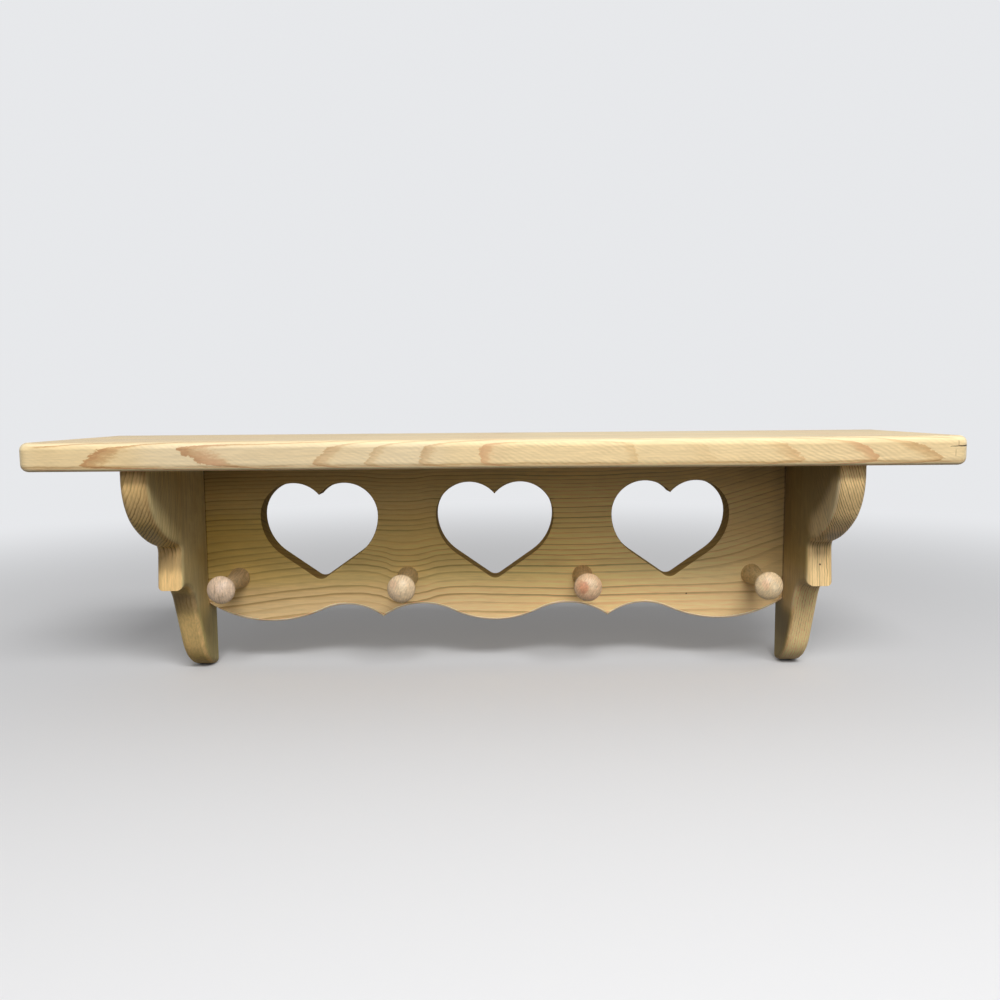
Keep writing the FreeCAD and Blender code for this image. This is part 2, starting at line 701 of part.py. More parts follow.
def make_rail():
    body = new_body("peg_rail", up="underside")
    outline = new_sketch(body, "XZ_Plane", "RailHalfOutline")
    add_half_rail_outline(outline)
    half = pad(body, outline, "rail_thickness")
    mirror = body.newObject("PartDesign::Mirrored", "RailWhole")
    mirror.Originals = [half]
    mirror.MirrorPlane = (plane(body, "YZ_Plane"), [""])
    body.Tip = mirror
    doc.recompute()
    cut_hearts(body)
    face = 0 - value("rail_thickness")

    heart_tips = 0 - value("heart_top_drop + heart_height")

    def is_scalloped_front_edge(edge):
        return lies_at(edge, "Y", face) and edge.BoundBox.ZMax < heart_tips

    def is_heart_front_edge(edge):
        straight_side = lies_at(edge, "Z", 0) or edge.BoundBox.XLength < CLOSE
        return lies_at(edge, "Y", face) and not straight_side and edge.BoundBox.ZMin > heart_tips - CLOSE

    round_edges(body, "rail_edge_radius", is_scalloped_front_edge, "RailEdges")
    round_edges(body, "heart_edge_radius", is_heart_front_edge, "HeartEdges")

    peg_holes = new_sketch(body, "XZ_Plane", "PegHoles", lift="rail_thickness")
    for across in peg_places():
        add_circle(peg_holes, across, "0 - peg_drop", "tenon_hole / 2")
    pocket(body, peg_holes, "tenon_length + hole_spare")

    top_holes = new_sketch(body, "XY_Plane", "RailTopHoles")
    for sign in ("0 - ", ""):
        add_circle(top_holes, sign + "heart_pitch / 2", "0 - mid_rail", "dowel_hole / 2")
    pocket(body, top_holes, "dowel_grip + hole_spare")

    for side, end, inward in (("Left", "0 - half_rail", True), ("Right", "half_rail", False)):
        end_holes = new_sketch(body, "YZ_Plane", side + "RailEndHoles", lift=end)
        for drop in ("upper_end_dowel_drop", "lower_end_dowel_drop"):
            add_circle(end_holes, "0 - mid_rail", "0 - " + drop, "dowel_hole / 2")
        pocket(body, end_holes, "dowel_grip + hole_spare", reverse=inward)

    cut_keyholes(body)


# a peg: turned about its own axis, with a tenon behind the rail's face and a domed head

def add_peg_outline(sketch):
    """Half of the turned outline, with the axis upright and the tenon above the origin."""
    base = value("peg_base_diameter / 2")
    neck = value("peg_neck_diameter / 2")
    neck_reach = value("peg_neck_reach")
    head = value("peg_head_diameter / 2")
    head_reach = value("peg_head_reach")
    rim = value("peg_rim_radius")
    reach = value("peg_reach")
    tenon = value("tenon_diameter / 2")
    tenon_length = value("tenon_length")
    chamfer = value("tenon_chamfer")

    rim_centre = (head - rim, -head_reach)
    inset = neck - rim_centre[0]
    run = head_reach - neck_reach
    flare_radius = (inset ** 2 + run ** 2 - rim ** 2) / (2 * (rim - inset))
    flare_centre = (neck + flare_radius, -neck_reach)
    flare_share = flare_radius / (flare_radius + rim)
    flare_end = (flare_centre[0] + (rim_centre[0] - flare_centre[0]) * flare_share,
                 flare_centre[1] + (rim_centre[1] - flare_centre[1]) * flare_share)
    bulge = reach - head_reach
    dome_radius = (rim_centre[0] ** 2 + bulge ** 2 - rim ** 2) / (2 * (bulge - rim))
    dome_centre = (0, dome_radius - reach)
    dome_share = dome_radius / (dome_radius - rim)
    dome_start = (rim_centre[0] * dome_share,
                  dome_centre[1] + (rim_centre[1] - dome_centre[1]) * dome_share)
    shank_radius = (neck_reach ** 2 + (base - neck) ** 2) / (2 * (base - neck))
    shank_centre = (neck + shank_radius, -neck_reach)

    axis = add_line(sketch, (0, -reach), (0, tenon_length))
    end = add_line(sketch, (0, tenon_length), (tenon - chamfer, tenon_length))
    bevel = add_line(sketch, (tenon - chamfer, tenon_length), (tenon, tenon_length - chamfer))
    tenon_side = add_line(sketch, (tenon, tenon_length - chamfer), (tenon, 0))
    shoulder = add_line(sketch, (tenon, 0), (base, 0))
    shank = add_arc(sketch, (base, 0), (neck, -neck_reach), shank_centre, True)
    flare = add_arc(sketch, (neck, -neck_reach), flare_end, flare_centre, True)
    rim_arc = add_arc(sketch, flare_end, dome_start, rim_centre, False)
    dome = add_arc(sketch, dome_start, (0, -reach), dome_centre, False)

    corner(sketch, axis, end)
    corner(sketch, end, bevel)
    corner(sketch, bevel, tenon_side)
    corner(sketch, tenon_side, shoulder)
    corner(sketch, shoulder, shank)
    corner(sketch, shank, flare)
    smooth(sketch, flare, rim_arc)
    smooth(sketch, rim_arc, dome)
    corner(sketch, dome, axis)

    pin(sketch, axis.index, axis.first, "0", "0 - peg_reach")
    pin(sketch, axis.index, axis.last, "0", "tenon_length")
    pin(sketch, bevel.index, bevel.first, "tenon_diameter / 2 - tenon_chamfer", "tenon_length")
    pin(sketch, bevel.index, bevel.last, "tenon_diameter / 2", "tenon_length - tenon_chamfer")
    pin(sketch, shoulder.index, shoulder.first, "tenon_diameter / 2", "0")
    pin(sketch, shoulder.index, shoulder.last, "peg_base_diameter / 2", "0")
    pin(sketch, flare.index, flare.first, "peg_neck_diameter / 2", "0 - peg_neck_reach")
    pin_up(sketch, shank.index, CENTRE, "0 - peg_neck_reach")
    pin_up(sketch, flare.index, CENTRE, "0 - peg_neck_reach")
    pin(sketch, rim_arc.index, CENTRE,
        "peg_head_diameter / 2 - peg_rim_radius", "0 - peg_head_reach")
    size_radius(sketch, rim_arc.index, "peg_rim_radius")
    pin_across(sketch, dome.index, CENTRE, "0")


def turn(body, sketch, name):
    """Turn an outline once about the sketch's upright axis."""
    settled(sketch)
    feature = body.newObject("PartDesign::Revolution", name)
    feature.Profile = sketch
    feature.ReferenceAxis = (sketch, ["V_Axis"])
    feature.Angle = 360.0
    doc.recompute()


def make_peg(number, across):
    body = new_body("peg_%d" % number, across=across, out="rail_thickness",
                    up="underside - peg_drop")
    outline = new_sketch(body, "XY_Plane", "PegOutline%d" % number)
    add_peg_outline(outline)
    turn(body, outline, "PegTurning%d" % number)


# a dowel: a plain pin with bevelled ends, standing up or lying along the rail

def make_dowel(label, across, out, up, length, lying=False):
    """A dowel that starts at the given point and runs up, or to the right when it lies."""
    body = new_body(label, across=across, out=out, up=up)
    role = "YZ_Plane" if lying else "XY_Plane"
    section = new_sketch(body, role, label.title().replace("_", "") + "Section")
    add_circle(section, "0", "0", "dowel_diameter / 2")
    pad(body, section, length)
    base = body.Tip
    bevel = body.newObject("PartDesign::Chamfer", section.Name + "Bevel")
    bevel.Base = (base, edges_where(base.Shape, is_ring))
    bind(bevel, "Size", "dowel_chamfer")
    doc.recompute()


def is_ring(edge):
    """True for a full circle."""
    return edge.isClosed() and isinstance(edge.Curve, Part.Circle)


def make_dowels():
    standing = "shelf_dowel_depth + dowel_grip"
    bottom = "underside - dowel_grip"
    for side in ("left", "right"):
        for name, place in (("back", "back_dowel_place"), ("front", "front_dowel_place")):
            make_dowel("%s_bracket_%s_dowel" % (side, name),
                       side + "_bracket_middle", place, bottom, standing)
    for name, sign in (("left", "0 - "), ("right", "")):
        make_dowel("%s_rail_top_dowel" % name, sign + "heart_pitch / 2", "mid_rail",
                   bottom, standing)
    lying = "bracket_dowel_depth + dowel_grip"
    starts = {
        "left": "0 - half_rail - bracket_dowel_depth",
        "right": "half_rail - dowel_grip",
    }
    for side, start in starts.items():
        for name, drop in (("upper", "upper_end_dowel_drop"), ("lower", "lower_end_dowel_drop")):
            make_dowel("%s_rail_end_%s_dowel" % (side, name), start, "mid_rail",
                       "underside - " + drop, lying, lying=True)


def check_document():
    """Stop on any object that failed and any piece that isn't one sound solid."""
    for item in doc.Objects:
        if "Invalid" in item.State or "Error" in item.State:
            raise RuntimeError(item.Name + " failed")
    for body in bodies():
        shape = body.Shape
        if shape.isNull() or not shape.isValid() or len(shape.Solids) != 1:
            raise RuntimeError(body.Label + " isn't one valid solid")


def bodies():
    return [item for item in doc.Objects if item.TypeId == "PartDesign::Body"]


make_shelf_board()
make_bracket("left")
make_bracket("right")
make_rail()
for number, across in enumerate(peg_places(), start=1):
    make_peg(number, across)
make_dowels()

doc.recompute()
check_document()
os.makedirs("parts", exist_ok=True)
for body in bodies():
    body.Shape.exportStep("parts/%s.step" % body.Label)
    box = body.Shape.BoundBox
    print("%-28s %9.0f mm3  x %7.1f %7.1f  y %7.1f %6.1f  z %7.1f %6.1f" % (
        body.Label, body.Shape.Volume, box.XMin, box.XMax, box.YMin, box.YMax,
        box.ZMin, box.ZMax))
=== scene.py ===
"""The looks of the peg rail with shelf: its woods, and the floor, light and camera around it.

Lengths in the woods' formulas are millimetres in the part's own frame: x to the right, y to the wall,
z up. Lengths of the floor, the lamps and the camera are metres."""

import math

import bpy
from mathutils import Matrix, Vector


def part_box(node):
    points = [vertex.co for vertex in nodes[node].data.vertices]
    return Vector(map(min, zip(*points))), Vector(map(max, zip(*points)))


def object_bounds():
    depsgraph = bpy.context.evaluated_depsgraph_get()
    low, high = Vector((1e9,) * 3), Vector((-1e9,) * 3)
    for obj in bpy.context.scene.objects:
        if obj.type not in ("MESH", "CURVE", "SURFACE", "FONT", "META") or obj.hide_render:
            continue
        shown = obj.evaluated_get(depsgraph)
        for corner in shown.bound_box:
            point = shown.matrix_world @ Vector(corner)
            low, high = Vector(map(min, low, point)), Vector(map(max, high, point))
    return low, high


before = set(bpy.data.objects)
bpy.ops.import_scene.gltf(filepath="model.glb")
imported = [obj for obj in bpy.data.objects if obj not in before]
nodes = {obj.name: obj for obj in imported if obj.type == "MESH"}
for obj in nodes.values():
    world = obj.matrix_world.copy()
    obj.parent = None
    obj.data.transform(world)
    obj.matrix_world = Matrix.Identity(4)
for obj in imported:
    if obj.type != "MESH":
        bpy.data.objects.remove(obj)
cad_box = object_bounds()

MM_PER_METRE = 1000.0

# Places on the part that the woods' formulas refer to.
SHELF_FRONT_Y, SHELF_MIDDLE_Z = -148.0, 24.0
RAIL_FRONT_Y = -19.0
BRACKET_MIDDLE_X = 237.3
BLOCK_FRONT_Y = -78.0
SCROLL_NOSE_Y, SCROLL_END_Z = -112.0, -42.0
PEG_HEAD_Y, PEG_SHANK_Y = (-58.0, -55.0), (-54.0, -50.0)


# ---------------------------------------------------------------- writing node trees as formulas


def paint(red, green, blue):
    """A colour as screens write it, 0 to 255, turned to the linear one that shaders take."""
    parts = [c / 255 for c in (red, green, blue)]
    return tuple(c / 12.92 if c <= 0.04045 else ((c + 0.055) / 1.055) ** 2.4 for c in parts) + (1.0,)


class Value:
    """A number that varies over the surface. Formulas are written with it as with plain numbers."""

    def __init__(self, graph, socket):
        self.graph, self.socket = graph, socket

    def __add__(self, other):
        return self.graph.math("ADD", self, other)

    def __radd__(self, other):
        return self.graph.math("ADD", other, self)

    def __sub__(self, other):
        return self.graph.math("SUBTRACT", self, other)

    def __rsub__(self, other):
        return self.graph.math("SUBTRACT", other, self)

    def __mul__(self, other):
        return self.graph.math("MULTIPLY", self, other)

    def __rmul__(self, other):
        return self.graph.math("MULTIPLY", other, self)

    def __truediv__(self, other):
        return self.graph.math("DIVIDE", self, other)

    def __abs__(self):
        return self.graph.math("ABSOLUTE", self)

    def sine(self):
        return self.graph.math("SINE", self)

    def fraction(self):
        return self.graph.math("FRACT", self)

    def whole(self):
        return self.graph.math("FLOOR", self)

    def at_most(self, other):
        return self.graph.math("MINIMUM", self, other)

    def at_least(self, other):
        return self.graph.math("MAXIMUM", self, other)

    def square(self):
        return self.graph.math("POWER", self, 2.0)

    def diagonal(self, other):
        """The long side of a right triangle with this and other as its short sides."""
        return self.graph.math("SQRT", self.square() + other.square())

    def step(self, low, high, start=0.0, end=1.0):
        """start below low, end above high, and a smooth change between them."""
        node = self.graph.new("ShaderNodeMapRange")
        node.interpolation_type = "SMOOTHSTEP"
        self.graph.feed(node.inputs[0], self)
        for socket, number in zip(node.inputs[1:5], (low, high, start, end)):
            socket.default_value = number
        return Value(self.graph, node.outputs[0])

    def fall(self, low, high):
        """1 below low, 0 above high, and a smooth change between them."""
        return self.step(low, high, 1.0, 0.0)

    def band(self, rise_start, rise_end, fall_start, fall_end):
        """1 from rise_end to fall_start, 0 below rise_start and above fall_end."""
        return self.step(rise_start, rise_end) * self.fall(fall_start, fall_end)

    def curve(self, points):
        """A smooth curve through points (value, result), level beyond the first and last."""
        xs, ys = [p[0] for p in points], [p[1] for p in points]
        low, high, bottom, top = min(xs), max(xs), min(ys), max(ys)
        node = self.graph.new("ShaderNodeFloatCurve")
        curve = node.mapping.curves[0]
        while len(curve.points) < len(points):
            curve.points.new(0.5, 0.5)
        for spot, (x, y) in zip(curve.points, points):
            spot.location = ((x - low) / (high - low), (y - bottom) / (top - bottom))
        node.mapping.update()
        self.graph.feed(node.inputs["Value"], (self - low) / (high - low))
        return Value(self.graph, node.outputs[0]) * (top - bottom) + bottom

    def colours(self, *stops):
        """A colour ramp through stops (value, colour), the values from 0 to 1."""
        node = self.graph.new("ShaderNodeValToRGB")
        ramp = node.color_ramp
        while len(ramp.elements) < len(stops):
            ramp.elements.new(0.5)
        for element, (place, _) in zip(ramp.elements, stops):
            element.position = place
        for element, (_, colour) in zip(ramp.elements, stops):
            element.color = colour
        self.graph.feed(node.inputs[0], self)
        return node.outputs[0]


class Tree:
    """The nodes of one material or world."""

    def __init__(self, owner):
        owner.use_nodes = True
        self.tree = owner.node_tree
        self.tree.nodes.clear()

    def new(self, kind):
        return self.tree.nodes.new(kind)

    def feed(self, socket, source):
        """Gives a socket its value: a formula's, another node's output or a constant."""
        if isinstance(source, Value):
            source = source.socket
        if isinstance(source, bpy.types.NodeSocket):
            self.tree.links.new(source, socket)
        else:
            socket.default_value = source

    def math(self, operation, *values):
        node = self.new("ShaderNodeMath")
        node.operation = operation
        for socket, value in zip(node.inputs, values):
            self.feed(socket, value)
        return Value(self, node.outputs[0])

    def split(self, vector):
        """The x, y and z of a vector."""
        node = self.new("ShaderNodeSeparateXYZ")
        self.feed(node.inputs[0], vector)
        return [Value(self, socket) for socket in node.outputs]

    def mix(self, first, second, amount, blend="MIX"):
        """The first colour where amount is 0, the second where it is 1."""
        node = self.new("ShaderNodeMix")
        node.data_type = "RGBA"
        node.blend_type = blend
        node.clamp_factor = True
        sockets = [s for s in node.inputs if s.enabled]
        for socket, source in zip(sockets, (amount, first, second)):
            self.feed(socket, source)
        return [s for s in node.outputs if s.enabled][0]

    def mix_shaders(self, first, second, amount):
        node = self.new("ShaderNodeMixShader")
        for socket, source in zip(node.inputs, (amount, first, second)):
            self.feed(socket, source)
        return node.outputs[0]

    def camera_sees(self):
        """1 where the camera, a reflection or glass looks, 0 for the light that bounces about."""
        path = self.new("ShaderNodeLightPath")
        total = Value(self, path.outputs["Is Camera Ray"])
        for kind in ("Is Glossy Ray", "Is Transmission Ray"):
            total = total.at_least(Value(self, path.outputs[kind]))
        return total

    def show(self, shader, output="ShaderNodeOutputMaterial"):
        self.feed(self.new(output).inputs["Surface"], shader)


class Wood(Tree):
    """One wooden piece's material."""

    def __init__(self, name):
        self.material = bpy.data.materials.new(name)
        super().__init__(self.material)
        place = self.new("ShaderNodeTexCoord")
        metres = self.split(place.outputs["Object"])
        self.x, self.y, self.z = (value * MM_PER_METRE for value in metres)
        self.normal = dict(zip("xyz", self.split(place.outputs["Normal"])))
        self.added_roughness = 0.0

    def facing(self, direction):
        """How squarely the surface faces a side of the part: 1 fully, 0 or less not at all."""
        axis = {"left": "x", "right": "x", "front": "y", "down": "z", "up": "z"}[direction]
        return self.normal[axis] if direction in ("right", "up") else -1.0 * self.normal[axis]

    def noise(self, lengths, seed, detail=2.0, roughness=0.5, at=None):
        """Smooth noise from -1 to 1 whose features are about as long, deep and high as lengths say."""
        node = self.new("ShaderNodeTexNoise")
        node.noise_dimensions = "4D"
        point = self.new("ShaderNodeCombineXYZ")
        for socket, value, length in zip(point.inputs, at or (self.x, self.y, self.z), lengths):
            self.feed(socket, value / length)
        self.feed(node.inputs["Vector"], point.outputs[0])
        for name, number in (("W", seed), ("Scale", 1.0), ("Detail", detail), ("Roughness", roughness)):
            node.inputs[name].default_value = number
        return Value(self, node.outputs[0]) * 2.0 - 1.0

    def chance(self, value, seed):
        """A fixed random number from 0 to 1 for each whole value."""
        node = self.new("ShaderNodeTexWhiteNoise")
        node.noise_dimensions = "1D"
        self.feed(node.inputs["W"], value + seed)
        return Value(self, node.outputs["Value"])

    def brighten(self, colour, factor, where=None):
        """The colour times a factor, everywhere or as far as where says."""
        node = self.new("ShaderNodeVectorMath")
        node.operation = "SCALE"
        self.feed(node.inputs[0], colour)
        self.feed(node.inputs["Scale"], factor)
        return node.outputs[0] if where is None else self.mix(colour, node.outputs[0], where)

    def tint(self, colour, *tints):
        """The colour with its red, green and blue each times a factor. Each tint has the three
        factors, and where they apply."""
        for factors, where in tints:
            tinted = self.mix(colour, tuple(factors) + (1.0,), 1.0, blend="MULTIPLY")
            colour = self.mix(colour, tinted, where)
        return colour

    def front_spot(self, colour, tone, x, z, inner, outer):
        """The colour with a small round spot on the front face."""
        spot = (self.x - x).diagonal(self.z - z).fall(inner, outer)
        return self.mix(colour, tone, spot * self.facing("front").step(0.8, 0.95))

    def finish(self, colour, roughness, height, bump=0.6, shine=0.5):
        shader = self.new("ShaderNodeBsdfPrincipled")
        relief = self.new("ShaderNodeBump")
        relief.inputs["Strength"].default_value = bump
        relief.inputs["Distance"].default_value = 0.001
        self.feed(relief.inputs["Height"], height)
        self.feed(shader.inputs["Base Color"], colour)
        self.feed(shader.inputs["Roughness"], roughness)
        shader.inputs["Specular IOR Level"].default_value = shine
        self.feed(shader.inputs["Normal"], relief.outputs[0])
        self.show(shader.outputs[0])
        return self.material


# ---------------------------------------------------------------- rings and pine


def annual_rings(rings, starts=0.58, dark=0.88, ends=0.95):
    """How far into the dark late wood a place is, 0 to 1, for a count of rings that grows by one
    from each dark line to the next. Each ring darkens slowly and ends sharply."""
    age = rings.fraction()
    late = age.step(starts, dark) * 0.88 + age.step(0.15, starts) * 0.12
    return late * age.fall(ends, 0.999)


def uneven_rings(graph, rings, seed, least=0.25, most=0.90, **profile):
    """Annual rings of which some are darker than others."""
    return annual_rings(rings, **profile) * (graph.chance(rings.whole(), seed) * (most - least) + least)


def pine(name, late_wood_at, along, tones, seed, detail_of, contrast=1.0):
    """Planed pine. late_wood_at(graph) says how dark the annual rings are, 0 to 1, and along is the
    axis that the fibres follow. tones are those of early, middle and late wood, and of cool and warm
    patches. detail_of(graph, colour, late) gives the colour what one board alone shows."""
    graph = Wood(name)

    def drawn_out(length, width):
        return [length if axis == along else width for axis in "xyz"]

    fibres = graph.noise(drawn_out(16.0, 1.3), seed, detail=3.0, roughness=0.65)
    streaks = graph.noise(drawn_out(260.0, 7.0), seed + 3, roughness=0.6)
    patches = graph.noise(drawn_out(140.0, 28.0), seed + 7, detail=1.0)
    late = late_wood_at(graph)
    early_wood, middle, late_wood, cool, warm = (paint(*tone) for tone in tones)
    colour = late.colours((0.0, early_wood), (0.45, middle), (1.0, late_wood))
    colour = graph.mix(colour, cool, patches.step(0.05, 0.6) * (1.0 - late) * 0.55)
    colour = graph.mix(colour, warm, patches.step(-0.05, -0.6) * 0.45)
    colour = graph.brighten(colour, fibres * (0.26 * contrast) + streaks * (0.10 * contrast) + 1.0)
    colour = graph.brighten(colour, 0.86, abs(graph.normal[along]).step(0.75, 0.95))
    colour = detail_of(graph, colour, late)
    roughness = fibres * 0.06 - late * 0.08 + 0.56 + graph.added_roughness
    height = fibres * 0.03 + late * 0.05 + streaks * 0.02
    return graph.finish(colour, roughness, height, shine=0.25)


# ---------------------------------------------------------------- the shelf, with curves along x

SHELF_TONES = ((248, 226, 182), (236, 208, 160), (206, 162, 116), (236, 222, 196), (250, 222, 170))
SHELF_RING_WIDTH = 2.7
SHELF_BOW = (
    (-305, 6.75), (-280, 6.45), (-258, 6.0), (-234, 5.7), (-216, 5.4), (-196, 5.0), (-169, 4.7),
    (-140, 4.35), (-111, 4.0), (-78, 3.0), (-45, 2.0), (-8, 1.0), (2, 0.7), (20, 0.5), (45, 0.35),
    (70, 0.45), (85, 0.7), (94, 1.0), (142, 2.0), (195, 3.0), (232, 3.76), (243, 4.0), (262, 4.66),
    (283, 5.0), (305, 5.5),
)
SHELF_LEAN = (
    (-305, 0.01), (-257, 0.022), (-225, 0.0), (-190, -0.02), (-150, 0.01), (-111, 0.024), (-78, 0.026),
    (-45, 0.012), (-8, 0.004), (60, 0.006), (142, 0.012), (200, 0.02), (284, 0.03), (305, 0.03),
)
SHELF_DARKNESS = (
    (-305, 0.7), (-240, 0.85), (-180, 0.85), (-150, 0.7), (-111, 0.75), (-74, 0.5), (-40, 0.55),
    (-5, 0.6), (40, 0.3), (91, 0.35), (137, 0.15), (192, 0.45), (238, 0.6), (272, 0.6), (305, 0.5),
)
SHELF_BLUSH = (
    (-305, 0), (-195, 0), (-177, 0.6), (-165, 0), (-20, 0.1), (-4, 1.0), (20, 0), (180, 0.1),
    (192, 0.4), (215, 0), (238, 1.0), (255, 0), (305, 0),
)
SHELF_GREY = (
    (-305, 0.0), (-240, 0.1), (-215, 0.9), (-160, 1.0), (-50, 0.9), (-20, 0.2), (60, 0.0), (305, 0.0),
)
SAW_MARKS = ((-305, 0.3), (0, 0.8), (60, 1.0), (305, 0.5))
SAW_MARK_SPACING, SAW_MARK_SLANT = 5.3, 2.05
SEAM_Z = 17.6
CRACK_X, CRACK_Z, CRACK_SLOPE = 292.0, 26.6, 0.04
# The fine marks by the crack: x, half width, outer half width, and the heights where they fade.
CRACK_MARKS = (
    (297.3, 0.12, 0.3, (27.0, 27.6, 30.0, 31.0)),
    (295.6, 0.1, 0.25, (20.0, 21.0, 24.5, 25.0)),
)
PITCH_X, PITCH_Y, PITCH_HALF_LENGTH, PITCH_HALF_WIDTH = 9.0, -15.0, 17.0, 6.0


def shelf_late_wood(graph):
    """The shelf's rings stand nearly upright along its length and lean across the front edge, where
    they come out as long flames, each with a thin dark rim. The bow gives the ring that each place on
    the front edge shows. The lines fade at the front corners."""
    ragged = graph.noise((6.0, 2.5, 2.2), seed=1.0, detail=4.0, roughness=0.7) * 0.17
    waves = graph.noise((90.0, 30.0, 20.0), seed=2.0, detail=1.0) * 0.12
    lean = graph.x.curve(SHELF_LEAN) * (graph.z - SHELF_MIDDLE_Z)
    rings = (graph.y - SHELF_FRONT_Y) / SHELF_RING_WIDTH + graph.x.curve(SHELF_BOW)
    rings = rings + lean + ragged + waves
    rim = rings.fraction().band(0.88, 0.95, 0.97, 0.999)
    corner = graph.facing("front").step(0.15, 0.5) * abs(graph.x).step(290.0, 298.0)
    late = annual_rings(rings, starts=0.70, dark=0.86, ends=0.97) + rim * 0.3
    return late * graph.x.curve(SHELF_DARKNESS) * (1.0 - corner)


def shelf_detail(graph, colour, late):
    """Saw marks and a seam on the front edge, painted light on its rounded upper and lower rims and
    painted shade darkening and warming its face, a drying crack at the right end and a pitch streak near
    the back edge of the top."""
    front = graph.facing("front").step(0.7, 0.95)
    saw = (graph.x + graph.z * SAW_MARK_SLANT) / SAW_MARK_SPACING
    saw = saw + graph.noise((16.0, 9.0, 6.0), seed=5.0) * 0.8
    where = graph.noise((50.0, 9.0, 8.0), seed=6.0).step(-0.5, 0.5) * graph.x.curve(SAW_MARKS)
    colour = graph.brighten(colour, (saw * (2 * math.pi)).sine() * where * front * 0.10 + 1.0)

    wander = graph.noise((16.0, 9.0, 9.0), seed=10.0, detail=3.0, roughness=0.6) * 1.6
    seam = abs(graph.z - SEAM_Z + wander).fall(0.25, 0.9) * graph.facing("front").step(0.3, 0.6)
    seam = seam * graph.noise((22.0, 9.0, 9.0), seed=11.0).step(-0.5, 0.1)
    # Painted light: the rounded lower and upper rims of the front edge are painted paler.
    lower_rim_painted_light = graph.facing("down").step(0.15, 0.7) * graph.facing("front").step(0.2, 0.5)
    upper_rim_painted_light = graph.facing("up").band(0.03, 0.25, 0.6, 0.85) * graph.facing("front").step(0.4, 0.6)
    colour = graph.tint(colour, ((0.72, 0.62, 0.52), seam * 0.8), ((1.46, 1.38, 1.28), lower_rim_painted_light),
                        ((1.12, 1.14, 1.16), upper_rim_painted_light))
    colour = graph.mix(colour, paint(236, 186, 146), graph.x.curve(SHELF_BLUSH) * late * 0.7)
    # Painted shade: the front face is painted darker and warmer than the top.
    colour = graph.tint(colour, ((0.91, 0.86, 0.77), front),
                        ((0.95, 1.0, 1.14), front * graph.x.curve(SHELF_GREY)))

    marks = [abs(graph.x - x).fall(inner, outer) * graph.z.band(*heights)
             for x, inner, outer, heights in CRACK_MARKS]
    colour = graph.mix(colour, paint(120, 84, 50), (marks[0] + marks[1]) * front * 0.6)
    line = (graph.x - CRACK_X) * CRACK_SLOPE
    crack = abs(graph.z - CRACK_Z - line + graph.noise((3.0, 3.0, 3.0), seed=8.0) * 0.25)
    crack = (crack / graph.x.step(291.0, 303.0, 0.12, 0.42)).fall(0.6, 1.3)
    crack = crack * graph.x.step(291.5, 292.5) * graph.y.fall(-126.0, -118.0)
    colour = graph.mix(colour, paint(52, 34, 20), crack)

    top = graph.facing("up").step(0.9, 0.98)
    bands = graph.noise((260.0, 30.0, 30.0), seed=13.0, roughness=0.6)
    colour = graph.brighten(colour, bands * top * 0.14 + 1.0)
    edge = graph.noise((9.0, 9.0, 9.0), seed=9.0) * 6.0
    pitch = abs(graph.x - PITCH_X) / PITCH_HALF_LENGTH + abs(graph.y - PITCH_Y + edge) / PITCH_HALF_WIDTH
    return graph.mix(colour, paint(150, 108, 66), pitch.fall(0.4, 1.1) * top * 0.6)


# ---------------------------------------------------------------- the rail, with curves along x or z

RAIL_TONES = ((247, 219, 160), (227, 196, 138), (178, 146, 92), (240, 214, 156), (249, 210, 146))
RAIL_LOW_WAVES = (
    (-228, -9), (-195, -4.6), (-163, -0.6), (-138, 1.7), (-113, 3.3), (-97, 1.9), (-85, -1.2),
    (-74, -4.2), (-57, -2.6), (-42, 0.9), (-25, 2.0), (0, 1.3), (37, 0.5), (61, 0.0), (83, 0.6),
    (143, 1.5), (228, 2.0),
)
RAIL_HIGH_WAVES = (
    (-228, -1.3), (-182, 0.8), (-130, 1.5), (-88, -0.6), (-72, -0.9), (-47, 1.4), (0, 1.6), (61, 0.0),
    (110, 0.8), (150, 1.2), (228, 2.0),
)
RAIL_FAN = ((-228, 0), (120, 0), (143, 0.7), (170, 4.2), (187, 8.0), (208, 14.0), (228, 20.0))
RAIL_RINGS = (
    (-118, -2.3), (-101.3, 0), (-94.7, 1), (-88.5, 2), (-83, 3), (-76.3, 4), (-70.5, 5), (-65.5, 6),
    (-61.3, 7), (-57.2, 8), (-53, 9), (-48, 10), (-43.8, 11), (-36, 13), (-30.5, 14.3), (-21.3, 16.6),
    (-14, 19), (-5, 22), (4, 25), (18, 29.7),
)
RAIL_DARKNESS = ((-228, 1.0), (60, 1.0), (120, 0.8), (228, 0.7))
RAIL_HONEY_BY_Z = ((-120, 0.0), (-98, 0.15), (-75, 0.8), (-40, 1.0), (-20, 0.6), (15, 0.5))
RAIL_HONEY_BY_X = ((-228, 1.0), (-190, 0.95), (-120, 0.65), (0, 0.60), (90, 0.3), (228, 0.0))
# Painted light and shade along the rail: darker at the ends by the brackets, lightest right of the
# middle.
RAIL_PAINTED_LIGHT_BY_X = (
    (-228, 0.78), (-190, 0.87), (-130, 0.96), (-70, 1.02), (0, 1.06), (70, 1.20), (150, 1.10),
    (228, 1.03),
)
# Painted light and shade up the rail: darkest just below the shelf, where its shade falls.
RAIL_PAINTED_SHADE_BY_Z = (
    (-120, 1.03), (-80, 1.02), (-58, 1.10), (-40, 1.02), (-20, 1.06), (-4, 0.97), (6, 0.82), (15, 0.76),
)
RAIL_PALE_PART = ((-228, 0.0), (-40, 0.1), (20, 0.8), (60, 1.0), (110, 1.0), (160, 0.5), (228, 0.4))
RAIL_PIN = (151.3, -94.3)
RAIL_END_X = 227.7
RAIL_RING_TILT = 0.35


